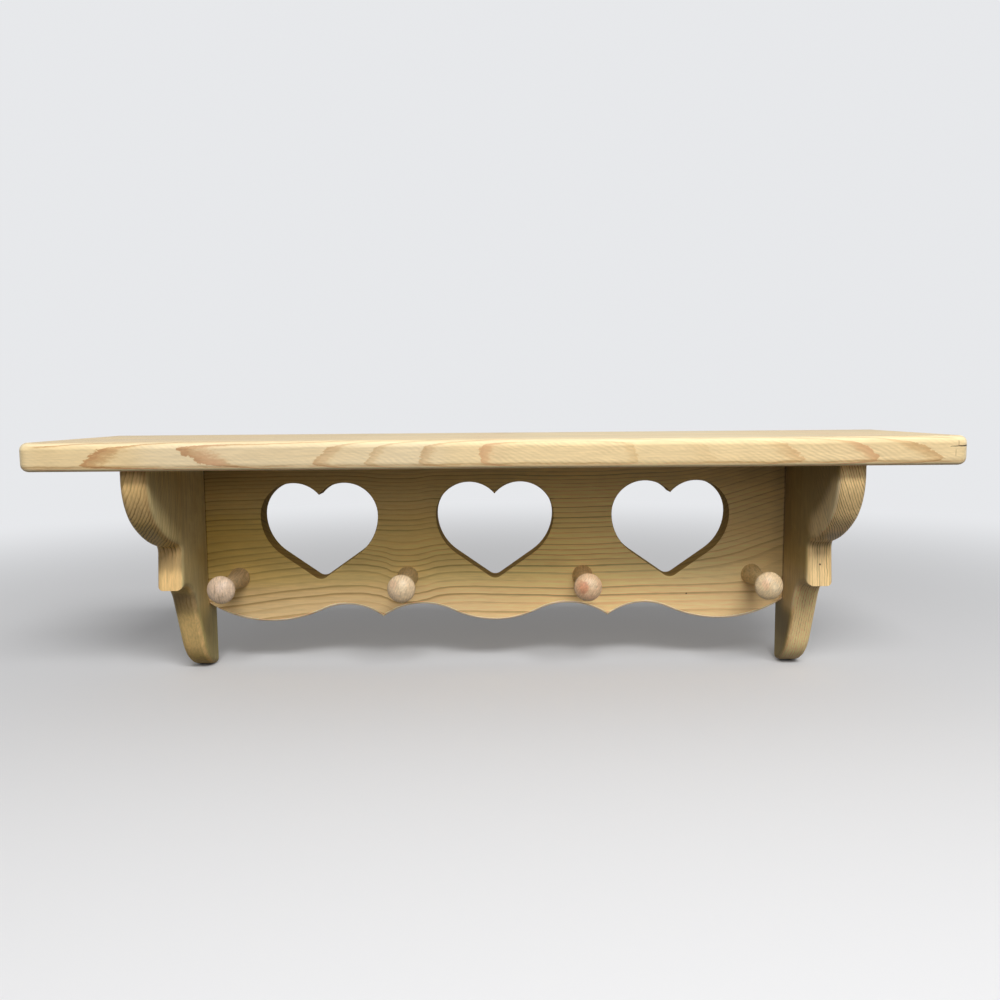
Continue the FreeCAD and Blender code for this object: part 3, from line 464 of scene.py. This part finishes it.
def rail_late_wood(graph):
    """The rail's rings lie along its length. They wave below the hearts and fan out upwards at the
    right."""
    low, high, fan = (graph.x.curve(points) for points in (RAIL_LOW_WAVES, RAIL_HIGH_WAVES, RAIL_FAN))
    shift = high + (low - high) * graph.z.step(-38.0, -76.0) + fan * graph.z.step(-97.0, -52.0)
    shift = shift + graph.noise((70.0, 40.0, 14.0), seed=11.0, detail=1.0)
    shift = shift + graph.noise((14.0, 9.0, 3.0), seed=12.0) * 0.35
    rings = (graph.z - shift + (graph.y - RAIL_FRONT_Y) * RAIL_RING_TILT).curve(RAIL_RINGS)
    return uneven_rings(graph, rings, seed=2.0) * graph.x.curve(RAIL_DARKNESS)


def rail_detail(graph, colour, late):
    """A honey tone to the left, painted light and shade along and up the rail, paler parts and a lighter
    lower part, painted shade in its top corners, on the walls of the hearts and by the right bracket, a
    painted highlight on the rounded lower edge, a dark joint to each bracket and a pin."""
    honey = graph.z.curve(RAIL_HONEY_BY_Z) * graph.x.curve(RAIL_HONEY_BY_X)
    colour = graph.tint(colour, ((1.0, 0.93, 0.52), honey))
    # Painted light and shade along and up the rail, and painted shade in its top corners by the brackets.
    colour = graph.brighten(colour, graph.x.curve(RAIL_PAINTED_LIGHT_BY_X))
    colour = graph.brighten(colour, graph.z.curve(RAIL_PAINTED_SHADE_BY_Z))
    shaded_top_corners = graph.z.step(-15.0, 5.0) * abs(graph.x).step(150.0, 215.0)
    colour = graph.brighten(colour, shaded_top_corners * -0.17 + 1.0)

    pale = graph.x.curve(RAIL_PALE_PART)
    low = graph.z.fall(-92.0, -80.0)
    # Painted shade darkens the walls of the hearts; a painted highlight pales the rounded lower edge.
    shaded_heart_walls = abs(graph.normal["y"]).fall(0.4, 0.75) * graph.z.step(-90.0, -86.0)
    lit_lower_arris = graph.facing("down").step(0.1, 0.4) * graph.facing("front").step(0.1, 0.35)
    colour = graph.tint(
        colour,
        ((1.0, 0.955, 0.88), pale * graph.z.fall(-20.0, 0.0)),
        ((0.74, 0.90, 1.05), late * pale),
        ((1.075, 1.01, 1.03), low),
        ((1.02, 0.98, 0.92), late * low),
        ((0.40, 0.335, 0.19), shaded_heart_walls),
        ((1.75, 1.85, 2.4), lit_lower_arris * graph.z.fall(-88.0, -84.0)),
    )
    graph.added_roughness = shaded_heart_walls * 0.4
    # Painted shade darkens the rail's right end by the bracket.
    colour = graph.brighten(colour, graph.x.step(212.0, 227.0, 1.0, 0.80))
    left_joint = (-1.0 * graph.x).step(226.6, RAIL_END_X) * 0.6
    right_joint = graph.x.step(226.4, RAIL_END_X) * 0.8
    colour = graph.mix(colour, paint(90, 52, 30), left_joint + right_joint)
    return graph.front_spot(colour, paint(70, 46, 26), *RAIL_PIN, 0.4, 0.75)


# ---------------------------------------------------------------- the brackets, with curves along z

LEFT_TONES = ((226, 190, 130), (206, 169, 110), (154, 122, 72), (220, 190, 136), (230, 180, 114))
LEFT_DARKNESS = (
    (-155, 0.2), (-100, 0.25), (-92, 0.7), (-82, 0.15), (-60, 0.2), (-46, 1.4), (-25, 1.5), (-5, 0.9),
    (15, 0.8),
)
# Painted light and shade up the left bracket's inner face.
LEFT_INNER_PAINTED_LIGHT = (
    (-154, 0.85), (-130, 0.92), (-112, 0.95), (-100, 1.06), (-92, 0.94), (-80, 0.88), (-70, 0.98),
    (-50, 1.09), (-25, 1.10), (15, 1.05),
)
# Painted light and shade up the left bracket's front, with painted shade in the cove and throat.
LEFT_FRONT_PAINTED_LIGHT = (
    (-154, 0.95), (-130, 1.0), (-112, 1.08), (-104, 0.85), (-97, 0.55), (-90, 0.52), (-86, 0.62),
    (-80, 1.08), (-70, 1.16), (-57, 0.72), (-46, 0.98), (-36, 0.92), (-22, 0.90), (-12, 0.78),
    (-5, 0.84), (1, 1.0), (6, 1.25), (15, 1.2),
)
RIGHT_TONES = ((240, 206, 148), (219, 187, 132), (168, 138, 90), (236, 206, 154), (242, 196, 134))
RIGHT_DARKNESS = (
    (-155, 0.6), (-105, 0.65), (-85, 0.9), (-60, 0.9), (-42, 1.6), (-20, 1.5), (15, 1.2),
)
# Painted light and shade up the right bracket's inner face.
RIGHT_INNER_PAINTED_LIGHT = (
    (-154, 0.90), (-135, 0.74), (-118, 0.50), (-105, 1.0), (-93, 1.5), (-70, 1.2), (-45, 0.80),
    (-25, 0.74), (0, 0.65), (15, 0.6),
)
# Painted light and shade up the right bracket's front, with painted shade in the cove.
RIGHT_FRONT_PAINTED_LIGHT = (
    (-154, 1.55), (-141, 1.52), (-130, 1.42), (-112, 1.30), (-93, 1.42), (-84, 1.3), (-78, 1.12),
    (-68, 1.15), (-52, 1.22), (-45, 0.70), (-38, 0.72), (-30, 1.34), (-22, 1.32), (-13, 0.93),
    (-6, 0.88), (1, 1.05), (6, 1.30), (15, 1.25),
)
SCROLL_RING_LEAN = 0.28
PALE_BAND_CENTRE_Y, PALE_BAND_CENTRE_Z = -53.1, 55.4
BLOCK_KNOT = (237.0, -62.0)


def bracket_late_wood(side, slope, steeper, ring_width, darkness):
    """Upright rings, for side -1 (left) or 1 (right). Behind the block they run straight along the
    board. In the scroll they slant by slope, and at its nose by as much more as steeper says, so that
    they cross the front edge, and they lean outwards upwards."""
    def late_wood(graph):
        slant = (graph.y - BLOCK_FRONT_Y).at_most(0.0) * (-slope * side)
        slant = slant + (graph.y - SCROLL_NOSE_Y).at_most(0.0) * (-steeper * side)
        lean = (graph.z - SCROLL_END_Z).at_least(0.0) * graph.y.fall(-92.0, -62.0)
        lean = lean * (SCROLL_RING_LEAN * side)
        waves = graph.noise((30.0, 60.0, 90.0), seed=21.0 + side, detail=1.0) * 1.2
        waves = waves + graph.noise((9.0, 12.0, 9.0), seed=22.0) * (1.2 - 0.4 * side)
        ragged = graph.noise((2.0, 4.0, 9.0), seed=23.0) * 0.4
        rings = (graph.x - side * BRACKET_MIDDLE_X + slant + lean + waves + ragged) / ring_width
        late = uneven_rings(graph, rings, seed=3.0 + side, least=0.45, starts=0.4, dark=0.8, ends=0.9)
        return late * graph.z.curve(darkness) * abs(graph.normal["x"]).step(0.5, 0.95, 1.0, 0.4)
    return late_wood


def left_bracket_detail(graph, colour, _late):
    """A greyer inner face with faint upright lines, painted light and shade up the inner face and the
    front with painted shade in the cove and throat, a less blue painted shade tint on downward faces and
    the foot, fine fibres on the block, painted highlights in speckles on the foot's arrises and painted
    shade on the upper inner edge."""
    inner = graph.facing("right").step(0.6, 0.95)
    front = graph.facing("front").step(0.1, 0.6)
    colour = graph.tint(colour, ((0.82, 0.97, 1.08), inner))
    lines = graph.noise((60.0, 4.6, 140.0), seed=24.0, roughness=0.6) * 0.3
    # Painted light and shade up the inner face, with faint upright lines.
    colour = graph.brighten(colour, graph.z.curve(LEFT_INNER_PAINTED_LIGHT) + lines, inner)
    upper_back = graph.y.step(-80.0, -45.0) * graph.z.step(-60.0, -40.0)
    colour = graph.tint(colour, ((1.08, 1.15, 1.35), inner * upper_back))
    # Painted light and shade up the front, with painted shade in the cove and throat.
    colour = graph.brighten(colour, graph.z.curve(LEFT_FRONT_PAINTED_LIGHT), front)
    foot = graph.z.fall(-105.0, -90.0)
    # Painted shade tint: downward faces and the foot are painted less blue.
    colour = graph.tint(colour, ((1.0, 1.0, 0.72), graph.facing("down").step(0.5, 0.85)),
                        ((0.98, 0.97, 0.82), inner * foot), ((1.0, 1.01, 0.92), front * foot))

    block = graph.z.band(-84.0, -80.0, -56.0, -48.0)
    fine = graph.noise((1.5, 2.0, 30.0), seed=28.0, roughness=0.6) * block
    colour = graph.brighten(colour, fine * front * 0.3 + 1.0)
    # Painted highlights in speckles on the foot's rounded edges, and painted shade on the upper inner
    # edge.
    arris_speckles = graph.noise((4.0, 4.0, 9.0), seed=25.0).step(-0.4, 0.3) * graph.z.fall(-95.0, -88.0)
    inner_arris = graph.facing("right").band(0.15, 0.4, 0.7, 0.9)
    outer_arris = graph.facing("left").band(0.4, 0.7, 0.85, 0.97)
    return graph.tint(colour, ((1.28, 1.24, 1.30), inner_arris * arris_speckles),
                      ((0.86, 0.84, 0.82), inner_arris * graph.z.step(-45.0, -35.0)),
                      ((1.32, 1.45, 1.5), outer_arris * arris_speckles))


def right_bracket_detail(graph, colour, late):
    """The inner face is painted darker as shade, bluer at middle height, with painted light and shade up
    it, more painted shade near the rail, and a paler, bluer band along the scroll's edge. The front has
    painted light and shade up its height with painted shade in the cove, softer lines on the foot, darker
    speckles on the foot's inner edge and a small knot."""
    inner = graph.facing("left").step(0.6, 0.95)
    front = graph.facing("front").step(0.1, 0.6)
    middle = graph.z.band(-108.0, -98.0, -80.0, -58.0)
    # Painted shade darkens the inner face, painted bluer at middle height, with painted light and shade
    # up it and more painted shade near the rail.
    colour = graph.tint(colour, ((0.64, 0.67, 0.58), inner), ((1.0, 1.06, 1.4), inner * middle))
    colour = graph.brighten(colour, graph.z.curve(RIGHT_INNER_PAINTED_LIGHT), inner)
    upper_back = graph.y.step(-45.0, -22.0) * graph.z.step(-62.0, -45.0)
    colour = graph.tint(colour, ((0.84, 0.80, 0.80), upper_back * inner))

    # The inner face is paler and bluer in a band along the scroll's edge.
    from_centre = (graph.y - PALE_BAND_CENTRE_Y).diagonal(graph.z - PALE_BAND_CENTRE_Z)
    from_centre = from_centre + graph.noise((20.0, 14.0, 14.0), seed=26.0) * 3.0
    pale_band = from_centre.step(79.0, 91.0) * graph.y.fall(-90.0, -70.0)
    pale_band = pale_band * graph.z.band(-46.0, -36.0, 0.0, 10.0)
    paler = graph.brighten(graph.tint(colour, ((1.0, 1.08, 1.5), 1.0)), 2.35)
    colour = graph.mix(colour, paler, pale_band * inner)

    colour = graph.tint(colour, ((0.70, 0.84, 0.92), late * front * graph.z.fall(-95.0, -88.0)))
    # Painted light and shade up the front, with painted shade in the cove.
    colour = graph.brighten(colour, graph.z.curve(RIGHT_FRONT_PAINTED_LIGHT), front)
    arris_speckles = graph.noise((3.0, 3.0, 5.0), seed=27.0).step(-0.5, 0.2)
    arris_speckles = arris_speckles * graph.z.band(-142.0, -134.0, -106.0, -98.0)
    # The foot's inner edge is darker in speckles.
    inner_arris = graph.facing("left").band(0.3, 0.6, 0.85, 0.97)
    colour = graph.tint(colour, ((0.90, 0.84, 0.78), inner_arris * arris_speckles))
    return graph.front_spot(colour, paint(96, 58, 30), *BLOCK_KNOT, 0.5, 0.9)


# ---------------------------------------------------------------- the pegs

# For each peg from the left: how its rings are turned, its pale, middle and dark tones and that of its
# blushes, and marks (right, up, half width, half height, colour, amount) on its head. The last, palest
# mark of each is a painted highlight on the dome.
PEGS = (
    (0.03, ((236, 208, 178), (218, 186, 154), (176, 140, 112), (232, 198, 170)),
     ((-3.0, 1.5, 0.7, 4.2, (172, 142, 116), 0.6), (0.0, -5.0, 0.9, 3.0, (172, 142, 116), 0.6),
      (2.6, -2.7, 0.6, 2.4, (182, 152, 126), 0.45), (-5.6, 0.0, 0.5, 4.0, (188, 160, 132), 0.4),
      (1.0, 2.5, 3.0, 4.0, (240, 212, 190), 0.4))),
    (-0.35, ((244, 216, 176), (230, 198, 156), (196, 160, 120), (240, 208, 176)),
     ((-5.6, 4.0, 3.2, 3.2, (236, 194, 158), 0.5), (1.5, 3.0, 3.0, 5.0, (250, 228, 190), 0.4))),
    (-0.6, ((240, 204, 162), (226, 184, 142), (198, 150, 110), (232, 186, 150)),
     ((-4.2, 0.5, 5.0, 6.2, (230, 170, 130), 0.7), (-3.6, 0.8, 3.2, 5.0, (222, 148, 110), 0.6),
      (0.5, -6.5, 6.0, 2.2, (230, 180, 148), 0.5), (3.5, 3.0, 3.4, 4.0, (248, 222, 184), 0.5))),
    (-0.5, ((246, 218, 174), (234, 202, 156), (208, 172, 128), (242, 206, 166)),
     ((-3.8, 2.0, 2.8, 4.2, (238, 190, 150), 0.6), (3.5, 0.0, 3.0, 4.0, (252, 232, 194), 0.5))),
)
DOWEL_TURN, DOWEL_TONES = 0.4, PEGS[1][1]
BEECH_RING_WIDTH = 1.7


def beech(name, centre_x, centre_z, turn, tones, seed, marks=()):
    """Turned beech: fine rings seen on end across the head, as straight lines along the shank."""
    graph = Wood(name)
    across = (graph.x - centre_x) * math.cos(turn) + (graph.z - centre_z) * math.sin(turn)
    up = (graph.z - centre_z) * math.cos(turn) - (graph.x - centre_x) * math.sin(turn)
    at = (across, graph.y, up)
    rings = (across + graph.noise((3.0, 30.0, 9.0), seed, at=at) * 0.4) / BEECH_RING_WIDTH
    late = uneven_rings(graph, rings, seed, starts=0.2, dark=0.7, ends=0.8) * 0.5
    flecks = graph.noise((1.1, 5.0, 2.6), seed + 2, detail=3.0, roughness=0.7, at=at)
    blushes = graph.noise((9.0, 18.0, 10.0), seed + 4, detail=1.0, at=at)
    pale, middle, dark, blush = (paint(*tone) for tone in tones)
    colour = late.colours((0.0, pale), (0.5, middle), (1.0, dark))
    colour = graph.mix(colour, blush, blushes.step(0.0, 0.55) * 0.5)
    head = graph.y.fall(*PEG_HEAD_Y)
    # The marks are blotches on the head; the last, palest of each peg is a painted highlight.
    for right, above, width, height, tone, amount in marks:
        away = ((graph.x - (centre_x + right)) / width).square()
        away = away + ((graph.z - (centre_z + above)) / height).square()
        away = away + graph.noise((2.0, 9.0, 2.0), seed + above, at=at) * 1.2
        colour = graph.mix(colour, paint(*tone), away.fall(0.3, 1.3) * head * amount)
    # Painted shade: the shank is darker and less blue than the head.
    colour = graph.tint(colour, ((1.0, 0.96, 0.77), graph.y.step(*PEG_SHANK_Y)))
    colour = graph.brighten(colour, flecks * 0.6 + graph.y.step(*PEG_SHANK_Y, 0.90, 0.76))
    # Painted light lifts the downward faces of the head.
    low_side_painted_light = graph.facing("down").step(0.25, 0.85) * graph.y.fall(*PEG_SHANK_Y)
    colour = graph.tint(colour, ((1.25, 1.22, 1.12), low_side_painted_light))
    return graph.finish(colour, flecks * 0.06 + 0.45, flecks * 0.02 + late * 0.01, bump=0.5)


# ---------------------------------------------------------------- each piece gets its wood


def give(name, material):
    nodes[name].data.materials.clear()
    nodes[name].data.materials.append(material)


left_late_wood = bracket_late_wood(-1, slope=0.52, steeper=0.20, ring_width=2.7, darkness=LEFT_DARKNESS)
right_late_wood = bracket_late_wood(1, slope=0.28, steeper=0.25, ring_width=1.75, darkness=RIGHT_DARKNESS)
woods = {
    "shelf_board": pine("shelf_pine_board", shelf_late_wood, "x", SHELF_TONES, seed=1.0,
                        detail_of=shelf_detail),
    "peg_rail": pine("rail_pine_board", rail_late_wood, "x", RAIL_TONES, seed=2.0,
                     detail_of=rail_detail),
    "left_bracket": pine("left_bracket_pine", left_late_wood, "z", LEFT_TONES, seed=3.0,
                         detail_of=left_bracket_detail, contrast=1.5),
    "right_bracket": pine("right_bracket_pine", right_late_wood, "z", RIGHT_TONES, seed=4.0,
                          detail_of=right_bracket_detail, contrast=1.5),
}
for number, (turn, tones, marks) in enumerate(PEGS, start=1):
    low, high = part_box("peg_%d" % number)
    middle = (low + high) * (MM_PER_METRE / 2)
    woods["peg_%d" % number] = beech("peg_%d_beech" % number, middle.x, middle.z, turn, tones,
                                     seed=30.0 + number, marks=marks)

dowel_wood = beech("dowel_beech_rod", 0.0, 0.0, DOWEL_TURN, DOWEL_TONES, seed=40.0)
for piece in nodes:
    give(piece, woods.get(piece, dowel_wood))


# ---------------------------------------------------------------- floor, light and camera

BACKGROUND = (0.80, 0.81, 0.83, 1)
FLOOR_SEEN, FLOOR_UNSEEN = (0.84, 0.84, 0.85, 1), (0.08, 0.08, 0.08, 1)
FLOOR_REACH, FLOOR_GAP = 9.0, 0.0001
FLOOR_FADES = (0.3, 1.3)


def pale_floor():
    """Far from the part the floor fades into the background, so that no horizon shows."""
    level = cad_box[0].z - FLOOR_GAP
    corners = [(x * FLOOR_REACH, y * FLOOR_REACH, level)
               for x, y in ((-1, -1), (1, -1), (1, 1), (-1, 1))]
    mesh = bpy.data.meshes.new("floor")
    mesh.from_pydata(corners, [], [(0, 1, 2, 3)])
    floor = bpy.data.objects.new("floor", mesh)
    bpy.context.scene.collection.objects.link(floor)
    material = bpy.data.materials.new("pale_floor")
    tree = Tree(material)
    sees = tree.camera_sees()
    plain = tree.new("ShaderNodeBsdfDiffuse")
    tree.feed(plain.inputs["Color"], tree.mix(FLOOR_UNSEEN, FLOOR_SEEN, sees))
    distance = tree.new("ShaderNodeVectorMath")
    distance.operation = "LENGTH"
    tree.feed(distance.inputs[0], tree.new("ShaderNodeTexCoord").outputs["Object"])
    far = Value(tree, distance.outputs["Value"]).step(*FLOOR_FADES)
    background = tree.new("ShaderNodeEmission")
    background.inputs["Color"].default_value = BACKGROUND
    tree.show(tree.mix_shaders(plain.outputs[0], background.outputs[0], far * sees))
    mesh.materials.append(material)


def surroundings():
    """The camera sees a plain background. The part is lit by a dim glow from behind and above."""
    world = bpy.data.worlds.new("studio")
    bpy.context.scene.world = world
    tree = Tree(world)
    _, back, up = tree.split(tree.new("ShaderNodeTexCoord").outputs["Generated"])
    behind = back.step(-0.1, 0.5, 0.0, 0.2)
    above = up.step(0.14, 0.40, 0.0, 0.43)
    overhead = up.step(0.5, 0.9, 0.0, -0.11)
    dim = tree.new("ShaderNodeBackground")
    tree.feed(dim.inputs["Strength"], behind.at_least(above) + overhead)
    shown = tree.new("ShaderNodeBackground")
    shown.inputs["Color"].default_value = BACKGROUND
    tree.show(tree.mix_shaders(dim.outputs[0], shown.outputs[0], tree.camera_sees()),
              "ShaderNodeOutputWorld")


def softbox(name, azimuth, elevation, width, height, power):
    """A wide soft lamp, aimed at the part. Azimuth 0 is in front of it, and grows to its right."""
    aim, distance = Vector((0, -0.08, 0)), 1.7
    lamp = bpy.data.lights.new(name, "AREA")
    lamp.shape, lamp.size, lamp.size_y, lamp.energy = "RECTANGLE", width, height, power
    box = bpy.data.objects.new(name, lamp)
    a, e = math.radians(azimuth), math.radians(elevation)
    toward = Vector((math.sin(a) * math.cos(e), -math.cos(a) * math.cos(e), math.sin(e)))
    box.location = aim + toward * distance
    box.rotation_euler = toward.to_track_quat("Z", "Y").to_euler()
    box.visible_camera = False
    bpy.context.scene.collection.objects.link(box)


def camera():
    """Stands where the photograph was taken from: in front of the middle, a little above the shelf."""
    place, focal_px, picture_px, sensor_mm = (0.00728, -0.72592, 0.05405), 905.6, 1000.0, 36.0
    yaw, pitch, roll = math.radians(-0.239), math.radians(5.878), math.radians(0.480)
    ahead = Vector((math.sin(yaw) * math.cos(pitch), math.cos(yaw) * math.cos(pitch), -math.sin(pitch)))
    level = Vector((math.cos(yaw), -math.sin(yaw), 0))
    upright = level.cross(ahead)
    right = level * math.cos(roll) - upright * math.sin(roll)
    up = upright * math.cos(roll) + level * math.sin(roll)
    data = bpy.data.cameras.new("camera")
    data.sensor_width, data.lens = sensor_mm, sensor_mm * focal_px / picture_px
    data.clip_start = 0.01
    eye = bpy.data.objects.new("camera", data)
    eye.matrix_world = Matrix.Translation(place) @ Matrix((right, up, -ahead)).transposed().to_4x4()
    bpy.context.scene.collection.objects.link(eye)
    bpy.context.scene.camera = eye


pale_floor()
surroundings()
softbox("softbox", azimuth=12, elevation=38.5, width=0.9, height=0.42, power=24.0)
softbox("low_fill", azimuth=4, elevation=18, width=2.8, height=0.6, power=5.5)
camera()
bpy.context.scene.view_settings.view_transform = "Standard"
